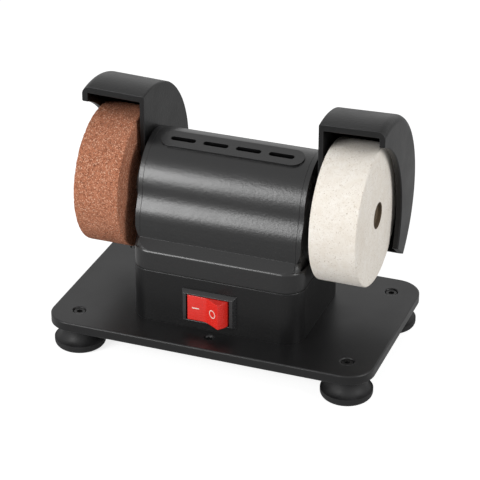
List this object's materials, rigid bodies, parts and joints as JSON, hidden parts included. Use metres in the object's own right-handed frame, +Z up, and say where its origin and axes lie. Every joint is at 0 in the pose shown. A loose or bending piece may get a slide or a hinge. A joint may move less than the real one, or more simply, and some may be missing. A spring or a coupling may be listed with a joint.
{
  "type": "mini bench grinder",
  "caption": "Small bench grinder: stone wheel and felt wheel on one motor spindle, half-open guards, ribless moulded housing, rocker switch and footed base plate.",
  "frame": {"origin": "on the bench under the middle of the base plate, at the underside of the feet", "axes": "+X along the spindle towards the felt wheel, +Y to the back, +Z up"},
  "size_m": [0.3, 0.18, 0.23],
  "materials": {
    "plate_coat": "satin black powder coat",
    "foot_rubber": "matt black rubber",
    "housing_plastic": "fine-grained black moulding",
    "guard_plastic": "fine-grained black moulding",
    "stone": "open red-brown abrasive grain",
    "felt": "pressed cream felt with dark flecks",
    "hub_bush": "grey-brown bush",
    "steel": "turned steel",
    "dark_steel": "blackened steel",
    "aluminium": "cast aluminium",
    "copper": "varnished copper wire",
    "inner_plastic": "pale moulding",
    "switch_black": "polished black moulding",
    "switch_red": "polished red moulding",
    "tab_brass": "plain brass"
  },
  "bodies": {
    "frame": {"base_plate": "plate_coat", "rubber_feet": "foot_rubber", "foot_inserts": "steel", "foot_screws": "dark_steel", "housing_base": "housing_plastic", "housing_shell": "housing_plastic", "left_end_cover": "housing_plastic", "right_end_cover": "housing_plastic", "housing_screws": "steel", "cover_screws": "dark_steel", "left_guard": "guard_plastic", "right_guard": "guard_plastic", "guard_screws": "dark_steel", "left_bearing_outer": "steel", "right_bearing_outer": "steel", "stator_core": "dark_steel", "stator_windings": "copper", "motor_cradle": "steel", "cradle_screws": "steel", "capacitor": "aluminium", "capacitor_clip": "steel", "clip_screw": "steel", "terminal_block": "inner_plastic", "switch_frame": "switch_black", "switch_tabs": "tab_brass", "cord_gland": "switch_black", "gland_locknut": "switch_black"},
    "spindle_assembly": {"spindle": "steel", "left_flange": "steel", "right_flange": "steel", "stone_wheel": "stone", "felt_wheel": "felt", "left_hub": "hub_bush", "right_hub": "hub_bush", "left_bearing_inner": "steel", "left_bearing_balls": "steel", "right_bearing_inner": "steel", "right_bearing_balls": "steel", "rotor_core": "dark_steel", "rotor_end_rings": "aluminium", "cooling_fan": "housing_plastic"},
    "rocker": {"switch_rocker": "switch_red"}
  },
  "joints": [
    {"name": "spindle_spin", "type": "hinge", "parent": "frame", "child": "spindle_assembly", "pos_m": [0, 0, 0.142], "axis": [1, 0, 0], "continuous": true},
    {"name": "rocker_tilt", "type": "hinge", "parent": "frame", "child": "rocker", "pos_m": [-0.0035, -0.0575, 0.056], "axis": [0, 0, 1], "range_deg": [0, 32]}
  ]
}
